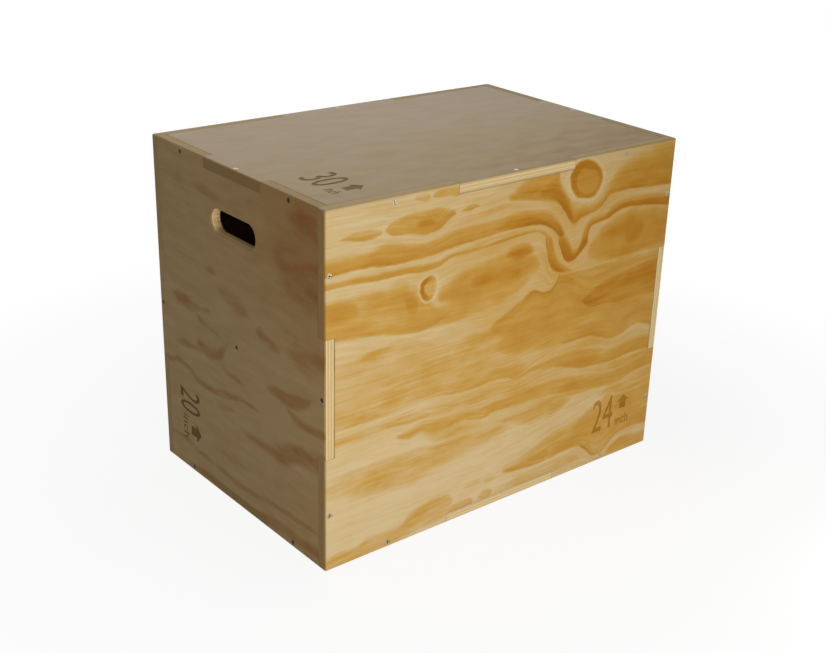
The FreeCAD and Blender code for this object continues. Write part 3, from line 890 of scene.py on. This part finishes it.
def plywood(name, ways, figure, palette, seed, size, joints, box,
            end_dark=0.0, side_dark=0.0, painted_shade_end=None, shine=0.15, lively=1.0):
    """Wood of one board: its figure, how brown its ends and sides are, its gloss and how lively it is."""
    material, tree = bare_material(name)
    along, across, depth = distances(tree, ways, *box)
    end, side = facing(tree, ways)
    grain = use_group(tree, fibres, {"Along": along, "Across": across, "Depth": depth, "Seed": seed})
    late = figure(tree, along, across, seed)
    for part, span in (("Lines", 0.40 * lively), ("Clouds", 0.30 * lively)):
        late = calc(tree, "ADD", late, calc(tree, "MULTIPLY_ADD", grain[part], span, -span / 2))
    ramp = add_node(tree, "ShaderNodeValToRGB", {"Fac": calc(tree, "DIVIDE", late, ramp_length)})
    pale, golden, dark, darkest = palette
    ramp.color_ramp.elements[0].color = pale
    ramp.color_ramp.elements[1].color = darkest
    ramp.color_ramp.elements.new(0.5 / ramp_length).color = golden
    ramp.color_ramp.elements.new(1.0 / ramp_length).color = dark
    cut = {"Along": along, "Across": across, "Depth": depth, "End": end, "Side": side, "Seed": seed}
    plies = use_group(tree, layers, cut)
    colour = mix_colour(tree, plies["Cut"], ramp.outputs["Color"], plies["Colour"])
    # Painted shade: the colour is mixed towards brown at one end of the board, fading across it.
    if painted_shade_end:
        start, end_share, amount = painted_shade_end
        painted_shade_share = fade(tree, along, start * size[0], end_share * size[0], 0.0, amount)
        first_half = fade(tree, across, 0.4 * size[1], size[1], 1.0, 0.35)
        colour = mix_colour(tree, calc(tree, "MULTIPLY", painted_shade_share, first_half), colour, saw_and_shade_brown)
    from_middle = calc(tree, "ABSOLUTE", calc(tree, "SUBTRACT", across, size[1] / 2))
    near_edge = calc(tree, "GREATER_THAN", from_middle, size[1] / 2 - edge_reach)
    outside = calc(tree, "MULTIPLY", side, near_edge)
    colour = mix_colour(tree, calc(tree, "MULTIPLY", end, end_dark), colour, saw_and_shade_brown)
    colour = mix_colour(tree, calc(tree, "MULTIPLY", outside, side_dark), colour, worn_brown)
    if joints:
        line = calc(tree, "MULTIPLY", joint_mask(tree, along, across, size, joints), joint_strength)
        on_face = calc(tree, "LESS_THAN", depth, veneer_thickness)
        colour = mix_colour(tree, calc(tree, "MULTIPLY", line, on_face), colour, glue_brown)
    roughness = calc(tree, "MULTIPLY_ADD", grain["Lines"], 0.22, 0.42)
    relief = calc(tree, "MULTIPLY_ADD", grain["Lines"], 0.7, calc(tree, "MULTIPLY", plies["Glue"], -0.5))
    bump = add_node(tree, "ShaderNodeBump", {"Height": relief, "Strength": 0.25, "Distance": 0.0004})
    shader = add_node(tree, "ShaderNodeBsdfPrincipled",
                      {"Base Color": colour, "Roughness": roughness, "Specular IOR Level": shine,
                       "Normal": bump.outputs[0]})
    add_node(tree, "ShaderNodeOutputMaterial", {"Surface": shader.outputs[0]})
    return material


print("plywood ready, an edge counts as outer within", edge_reach, "mm of a side")

# %% A look for each board
front_palette = srgb(217, 193, 145), srgb(202, 156, 72), srgb(187, 128, 28), srgb(173, 107, 12)
left_palette = srgb(175, 149, 105), srgb(157, 122, 76), srgb(142, 98, 54), srgb(122, 80, 40)
top_palette = srgb(199, 178, 153), srgb(186, 162, 122), srgb(166, 130, 90), srgb(150, 112, 70)
whole_box = cad_low, cad_high
face_size = face_length, face_height
end_size = face_depth, face_height
deck_size = face_length, face_depth

face_of_box = dict(size=face_size, joints=face_joints, box=whole_box)
end_of_box = dict(size=end_size, joints=end_joints, box=whole_box, side_dark=0.60, shine=0.06)
deck_of_box = dict(size=deck_size, joints=deck_joints, box=whole_box, end_dark=0.93, lively=0.5)
# On the front and the top, painted shade darkens the wood towards one end.
board_looks = {
    "front_panel": dict(ways=("+x", "-z", "+y"), figure=front_figure, palette=front_palette, seed=1.0,
                        end_dark=0.84, side_dark=0.46, painted_shade_end=(0.4, 1.0, 0.16), **face_of_box),
    "back_panel": dict(ways=("-x", "-z", "-y"), figure=ringed_figure, palette=front_palette, seed=21.0,
                       end_dark=0.80, side_dark=0.70, **face_of_box),
    "left_panel": dict(ways=("-y", "-z", "+x"), figure=left_figure, palette=left_palette, seed=41.0,
                       **end_of_box),
    "right_panel": dict(ways=("+y", "-z", "-x"), figure=ringed_figure, palette=left_palette, seed=61.0,
                        **end_of_box),
    "top_panel": dict(ways=("+x", "-y", "-z"), figure=plain_figure, palette=top_palette, seed=81.0,
                      painted_shade_end=(0.9, 0.0, 0.14), **deck_of_box),
    "bottom_panel": dict(ways=("+x", "+y", "+z"), figure=ringed_figure, palette=top_palette, seed=101.0,
                         **deck_of_box),
    "center_brace": dict(ways=("+x", "+y", "+z"), figure=plain_figure, palette=front_palette, seed=121.0,
                         size=deck_size, joints=[], box=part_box("center_brace")),
}
for node_name, look in board_looks.items():
    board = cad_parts[node_name]
    board.data.materials.clear()
    board.data.materials.append(plywood(node_name + "_plywood", **look))
    print(node_name, "material with", len(board.data.materials[0].node_tree.nodes), "nodes")

# %% [markdown]
# ## Height marks
# The front, the left end and the top each carry a mark: the height of the box when it is turned so
# that the mark stands upright, an arrow that points up, and the word for the unit. A laser burns such
# marks a little way into the veneer. Here the signs become thin solids, and a boolean
# cuts them out of a copy of the board. The floor of each cut gets the wood of the board, charred.

# %% Signs as thin solids
burn_depth = 0.0005


def pick(piece):
    """Make one object the only selected one, and the active one."""
    bpy.ops.object.select_all(action="DESELECT")
    piece.select_set(True)
    bpy.context.view_layer.objects.active = piece


def tidy_mesh(piece):
    """Merge points that fall together and turn all faces outward."""
    pick(piece)
    bpy.ops.object.mode_set(mode="EDIT")
    bpy.ops.mesh.select_all(action="SELECT")
    bpy.ops.mesh.remove_doubles(threshold=1e-6)
    bpy.ops.mesh.normals_make_consistent(inside=False)
    bpy.ops.object.mode_set(mode="OBJECT")


def use_modifier(piece, kind, **settings):
    """Add a modifier, set it up and apply it."""
    pick(piece)
    bpy.ops.object.modifier_add(type=kind)
    modifier = piece.modifiers[-1]
    for name, value in settings.items():
        setattr(modifier, name, value)
    bpy.ops.object.modifier_apply(modifier=modifier.name)


def fit_flat(piece, left, bottom, right, top):
    """Stretch a flat mesh until it fills a rectangle in millimetres."""
    across = [point.co.x for point in piece.data.vertices]
    up = [point.co.y for point in piece.data.vertices]
    wide = (right - left) / 1000 / (max(across) - min(across))
    tall = (top - bottom) / 1000 / (max(up) - min(up))
    piece.data.transform(
        Matrix.Translation((left / 1000, bottom / 1000, 0))
        @ Matrix.Diagonal((wide, tall, 1, 1))
        @ Matrix.Translation((-min(across), -min(up), 0))
    )


def word_solid(words, *rectangle):
    """Word of flat letters, a little thick, that fills the rectangle."""
    bpy.ops.object.select_all(action="DESELECT")
    bpy.ops.object.text_add()
    word = bpy.context.object
    word.data.body = words
    word.data.extrude = burn_depth
    word.data.resolution_u = 4
    bpy.ops.object.convert(target="MESH")
    word = bpy.context.object
    fit_flat(word, *rectangle)
    tidy_mesh(word)
    return word


def arrow_solid(*rectangle):
    """Block arrow: a square shaft, whose upper edge is widened and then drawn together to a point."""
    bpy.ops.object.select_all(action="DESELECT")
    bpy.ops.mesh.primitive_plane_add(size=1)
    arrow = bpy.context.object
    bpy.ops.object.mode_set(mode="EDIT")
    bpy.ops.mesh.select_mode(type="EDGE")
    bpy.ops.mesh.select_all(action="DESELECT")
    bpy.ops.object.mode_set(mode="OBJECT")
    for edge in arrow.data.edges:
        ends = [arrow.data.vertices[number].co.y for number in edge.vertices]
        edge.select = min(ends) > 0.4
    bpy.ops.object.mode_set(mode="EDIT")
    middle = (0, 0.5, 0)
    bpy.ops.mesh.extrude_region_move(TRANSFORM_OT_translate={"value": (0, 0, 0)})
    bpy.ops.transform.resize(value=(2, 1, 1), center_override=middle)
    bpy.ops.mesh.extrude_region_move(TRANSFORM_OT_translate={"value": (0, 0.85, 0)})
    bpy.ops.mesh.merge(type="CENTER")
    bpy.ops.mesh.select_all(action="SELECT")
    bpy.ops.mesh.dissolve_faces()
    bpy.ops.object.mode_set(mode="OBJECT")
    fit_flat(arrow, *rectangle)
    use_modifier(arrow, "SOLIDIFY", thickness=2 * burn_depth, offset=0.0)
    tidy_mesh(arrow)
    return arrow


print("signs are cut", burn_depth * 1000, "mm deep")

# %% Boards with burnt marks
burnt_shine = 0.04


def charred(palette, fading):
    """The same wood after burning: darker, and browner because blue fades most."""
    shares = *fading, 1.0
    return [tuple(part * share for part, share in zip(colour, shares)) for colour in palette]


def upright(right, up, out, face):
    """Matrix that stands a flat sign on a face of the box."""
    axes = Matrix((right, up, out)).transposed().to_4x4()
    return Matrix.Translation(Vector(out) * face) @ axes


def marked_board(node_name, turn, fading, signs):
    """Copy of a CAD board with its signs cut in, which stands in for the board."""
    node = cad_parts[node_name]
    board = bpy.data.objects.new(node_name + "_marked", node.data.copy())
    bpy.context.scene.collection.objects.link(board)
    tidy_mesh(board)
    look = dict(board_looks[node_name])
    look["palette"] = charred(look["palette"], fading)
    look["shine"] = burnt_shine
    burnt = plywood(node_name + "_burnt", **look)
    for sign in signs:
        sign.data.transform(turn)
        sign.data.materials.clear()
        sign.data.materials.append(burnt)
        use_modifier(board, "BOOLEAN", operation="DIFFERENCE", object=sign, solver="EXACT",
                     material_mode="TRANSFER")
        bpy.data.objects.remove(sign)
    tidy_mesh(board)
    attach(board, "root")
    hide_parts(node_name)
    return board


front_turn = upright((1, 0, 0), (0, 0, 1), (0, -1, 0), -cad_low.y)
left_turn = upright((0, 0, -1), (0, -1, 0), (-1, 0, 0), -cad_low.x)
top_turn = upright((0, -1, 0), (1, 0, 0), (0, 0, 1), cad_high.z)
marked = [
    marked_board("front_panel", front_turn, (0.72, 0.56, 0.35), [
        word_solid("24", 225, 64, 279, 131),
        word_solid("inch", 289, 63, 324, 82),
        arrow_solid(289, 96, 322, 124),
    ]),
    marked_board("left_panel", left_turn, (0.42, 0.29, 0.16), [
        word_solid("20", -162, -198, -116, -130),
        word_solid("inch", -107, -191, -60, -171),
        arrow_solid(-101, -164, -65, -129),
    ]),
    marked_board("top_panel", top_turn, (0.50, 0.42, 0.30), [
        word_solid("30", 98, -324, 153, -257),
        word_solid("inch", 169, -326, 196, -306),
        arrow_solid(169, -297, 200, -260),
    ]),
]
for board in marked:
    print(board.name, "has", len(board.data.polygons), "faces")

# %% [markdown]
# ## Wood screws
# The boards are held by countersunk wood screws of bright zinc, with a cross recess and a coarse
# thread. One screw is modelled: a disc is drawn out into head, neck, shank and point, the thread is a
# small triangle swept round the shank by a Screw modifier, and the recess is cut with two tapered
# blades.

# %% One screw
head_radius = 0.0042
core_radius = 0.0015
neck_radius = 0.0019
point_radius = 0.0001
thread_radius = 0.0020
screw_length = 0.0450
rim_depth = 0.0003
head_depth = 0.0025
neck_end = 0.0150
thread_start = 0.0160
point_start = 0.0400


def draw_out(depth, radius, start, old_radius):
    """Extrude the selected end of the screw to a new depth and radius."""
    bpy.ops.mesh.extrude_region_move(TRANSFORM_OT_translate={"value": (0, 0, start - depth)})
    share = radius / old_radius
    bpy.ops.transform.resize(value=(share, share, 1), center_override=(0, 0, -depth))


def screw_body():
    """Head, neck, shank and point, drawn out of a disc."""
    bpy.ops.object.select_all(action="DESELECT")
    bpy.ops.mesh.primitive_circle_add(vertices=24, radius=head_radius, fill_type="NGON")
    body = bpy.context.object
    bpy.ops.object.mode_set(mode="EDIT")
    bpy.ops.mesh.select_all(action="SELECT")
    stations = [(0.0, head_radius), (rim_depth, head_radius), (head_depth, neck_radius),
                (neck_end, neck_radius), (thread_start, core_radius), (point_start, core_radius),
                (screw_length, point_radius)]
    for (start, old_radius), (depth, radius) in zip(stations, stations[1:]):
        draw_out(depth, radius, start, old_radius)
    bpy.ops.object.mode_set(mode="OBJECT")
    tidy_mesh(body)
    return body


def screw_thread():
    """Triangle beside the shank, swept round and down it."""
    pitch, turns, steps = 0.0020, 12, 12
    half_height, inner_radius = 0.0005, core_radius * 0.9
    bpy.ops.object.select_all(action="DESELECT")
    bpy.ops.mesh.primitive_circle_add(vertices=3, radius=half_height, fill_type="NOTHING")
    thread = bpy.context.object
    corners = [(inner_radius, half_height), (thread_radius, 0.0), (inner_radius, -half_height)]
    for point, (radius, height) in zip(thread.data.vertices, corners):
        point.co = (radius, 0, height - thread_start)
    use_modifier(thread, "SCREW", axis="Z", angle=2 * pi, screw_offset=-pitch, iterations=turns,
                 steps=steps, render_steps=steps, use_smooth_shade=False)
    pick(thread)
    bpy.ops.object.mode_set(mode="EDIT")
    bpy.ops.mesh.select_all(action="DESELECT")
    bpy.ops.mesh.select_non_manifold()
    bpy.ops.mesh.edge_face_add()
    bpy.ops.object.mode_set(mode="OBJECT")
    tidy_mesh(thread)
    return thread


def recess_blade(turn):
    """Flat blade, narrower below, that stands in the middle of the head."""
    upper_end = 0.0048, 0.0011, 0.0005
    lower_end = 0.0022, 0.0007, -0.0020
    bpy.ops.object.select_all(action="DESELECT")
    bpy.ops.mesh.primitive_cube_add(size=1)
    blade = bpy.context.object
    for point in blade.data.vertices:
        wide, thick, height = lower_end if point.co.z < 0 else upper_end
        point.co.x *= wide
        point.co.y *= thick
        point.co.z = height
    blade.data.transform(Matrix.Rotation(turn, 4, "Z"))
    return blade


screw = screw_body()
for turn in (0.0, pi / 2):
    blade = recess_blade(turn)
    use_modifier(screw, "BOOLEAN", operation="DIFFERENCE", object=blade, solver="EXACT")
    bpy.data.objects.remove(blade)
thread = screw_thread()
pick(screw)
thread.select_set(True)
bpy.ops.object.join()
screw.name = "one_screw"
print("one screw has", len(screw.data.polygons), "faces")

# %% [markdown]
# ## A screw in every place
# The CAD screws already stand where they should. A copy of each group is split into single screws,
# and the box round each one tells its place: its long side is the axis, and the end that lies
# further from the middle of the box is the head. Each copy is turned by another angle, as a driver
# leaves them. The zinc is stained. Heads on the left end get painted shade, and those on the top a
# painted highlight.

# %% Screws in place
shallow, deep = 2.5, 4.5


def zinc():
    """Stained zinc, with painted shade on heads of the left end and a painted highlight on those of the
    top.
    """
    material, tree = bare_material("bright_zinc")
    along, across, height = distances(tree, ("+x", "+y", "+z"), *whole_box)
    stains = noise(tree, along, across, height, (2.0, 2.0, 2.0), 3.0)
    cleaner = fade(tree, stains, 0.35, 0.65)
    bright = mix_colour(tree, cleaner, srgb(104, 97, 80), srgb(214, 206, 182))
    # Painted highlight: heads near the top of the box are mixed towards a light colour.
    painted_highlight_share = fade(tree, height, face_height - deep, face_height - shallow)
    bright = mix_colour(tree, painted_highlight_share, bright, srgb(232, 214, 182))
    # Painted shade: heads on the left end are made near black.
    painted_shade_zinc = mix_colour(tree, cleaner, srgb(16, 10, 4), srgb(46, 36, 24))
    colour = mix_colour(tree, fade(tree, along, shallow, deep), painted_shade_zinc, bright)
    roughness = calc(tree, "MULTIPLY_ADD", stains, 0.25, 0.22)
    inputs = {"Base Color": colour, "Roughness": roughness, "Metallic": 1.0}
    shader = add_node(tree, "ShaderNodeBsdfPrincipled", inputs)
    add_node(tree, "ShaderNodeOutputMaterial", {"Surface": shader.outputs[0]})
    return material


def screw_places(node):
    """Place of each head and the way out of the wood."""
    group = bpy.data.objects.new("screw_group", node.data.copy())
    bpy.context.scene.collection.objects.link(group)
    tidy_mesh(group)
    bpy.ops.object.mode_set(mode="EDIT")
    bpy.ops.mesh.separate(type="LOOSE")
    bpy.ops.object.mode_set(mode="OBJECT")
    places = []
    box_middle = (cad_low + cad_high) / 2
    for single in list(bpy.context.selected_objects):
        corners = [[point.co[number] for point in single.data.vertices] for number in range(3)]
        low = Vector([min(values) for values in corners])
        high = Vector([max(values) for values in corners])
        size = high - low
        axis = max(range(3), key=lambda number: size[number])
        head = (low + high) / 2
        outward = Vector((0, 0, 0))
        outward[axis] = 1.0 if head[axis] > box_middle[axis] else -1.0
        head[axis] = high[axis] if outward[axis] > 0 else low[axis]
        places.append((head, outward))
        bpy.data.objects.remove(single)
    return places


steel = zinc()
golden_turn = radians(137.5)
screw_nodes = [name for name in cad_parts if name.endswith("screws")]
count = 0
for node_name in screw_nodes:
    copies = []
    for head, outward in screw_places(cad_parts[node_name]):
        copy = bpy.data.objects.new("screw_copy", screw.data.copy())
        bpy.context.scene.collection.objects.link(copy)
        stand = outward.to_track_quat("Z", "Y").to_matrix().to_4x4()
        turn = Matrix.Rotation(golden_turn * count, 4, "Z")
        copy.data.transform(Matrix.Translation(head) @ stand @ turn)
        copies.append(copy)
        count += 1
    pick(copies[0])
    for copy in copies:
        copy.select_set(True)
    bpy.ops.object.join()
    group = bpy.context.object
    group.name = node_name + "_threaded"
    group.data.materials.clear()
    group.data.materials.append(steel)
    bpy.ops.object.shade_smooth_by_angle(angle=radians(35))
    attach(group, "root")
    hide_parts(node_name)
    print(node_name, "has", len(copies), "screws")
bpy.data.objects.remove(screw)

# %% [markdown]
# ## Floor and light
# The photograph has a plain white ground. A pale floor takes the soft shadow, and where the camera
# or a reflection sees it directly it is lifted to white. A large lamp stands in front of the box,
# a little to the left, because the front is bright and the left face dim. A weaker, cooler one hangs
# over the top, and a small one near the floor lifts the lower right of the front.

# %% Floor and light
floor_grey = 0.75
grey_in_view = 0.16
glow_near, glow_far = 0.88, 0.98
world_light = 0.20


def plainly_seen(tree):
    """1 for what the camera sees, also by way of metal or glass, and 0 for the light on the object."""
    path = add_node(tree, "ShaderNodeLightPath").outputs
    mirrored = calc(tree, "MAXIMUM", path["Is Glossy Ray"], path["Is Transmission Ray"])
    return calc(tree, "MAXIMUM", path["Is Camera Ray"], mirrored)


def stage_floor():
    """Pale floor, a little greyer round the box than far away."""
    bpy.ops.object.select_all(action="DESELECT")
    bpy.ops.mesh.primitive_plane_add(size=40, location=(0, 0, cad_low.z))
    floor = bpy.context.object
    floor.name = "floor"
    material, tree = bare_material("pale_floor")
    seen = plainly_seen(tree)
    place = add_node(tree, "ShaderNodeTexCoord").outputs["Object"]
    away = add_node(tree, "ShaderNodeVectorMath", {0: place}, operation="LENGTH").outputs["Value"]
    grey = calc(tree, "MULTIPLY_ADD", seen, grey_in_view - floor_grey, floor_grey)
    matt = add_node(tree, "ShaderNodeBsdfDiffuse", {"Color": grey})
    strength = calc(tree, "MULTIPLY", seen, fade(tree, away, 0.5, 1.6, glow_near, glow_far))
    glow = add_node(tree, "ShaderNodeEmission", {"Strength": strength})
    both = add_node(tree, "ShaderNodeAddShader", {0: matt.outputs[0], 1: glow.outputs[0]})
    add_node(tree, "ShaderNodeOutputMaterial", {"Surface": both.outputs[0]})
    floor.data.materials.append(material)
    return floor


def white_world(strength):
    """White where it is seen, and a weak even light on the object."""
    world = bpy.data.worlds.new("studio")
    world.use_nodes = True
    tree = world.node_tree
    tree.nodes.clear()
    seen = plainly_seen(tree)
    level = calc(tree, "MULTIPLY_ADD", seen, 1.0 - strength, strength)
    sky = add_node(tree, "ShaderNodeBackground", {"Color": (1.0, 1.0, 1.0, 1.0), "Strength": level})
    add_node(tree, "ShaderNodeOutputWorld", {"Surface": sky.outputs[0]})
    bpy.context.scene.world = world


def soft_lamp(name, place, aim, size, power):
    """Square lamp at a place, looking at another."""
    data = bpy.data.lights.new(name, "AREA")
    data.size = size
    data.energy = power
    lamp = bpy.data.objects.new(name, data)
    way = Vector(aim) - Vector(place)
    lamp.matrix_world = Matrix.Translation(place) @ way.to_track_quat("-Z", "Y").to_matrix().to_4x4()
    bpy.context.scene.collection.objects.link(lamp)
    return lamp


floor = stage_floor()
white_world(world_light)
lamps = [
    soft_lamp("front_lamp", place=(-0.90, -1.90, 0.10), aim=(-0.15, -0.25, 0.22), size=0.9, power=33.0),
    soft_lamp("top_lamp", place=(-0.26, 0.17, 1.75), aim=(-0.06, 0.0, 0.6), size=1.1, power=6.5),
    soft_lamp("low_lamp", place=(0.40, -0.95, 0.05), aim=(0.30, -0.25, 0.06), size=0.4, power=1.2),
]
lamps[1].data.color = (0.93, 0.97, 1.0)
bpy.context.scene.view_settings.view_transform = "Standard"
print(len(lamps), "lamps over", floor.name)
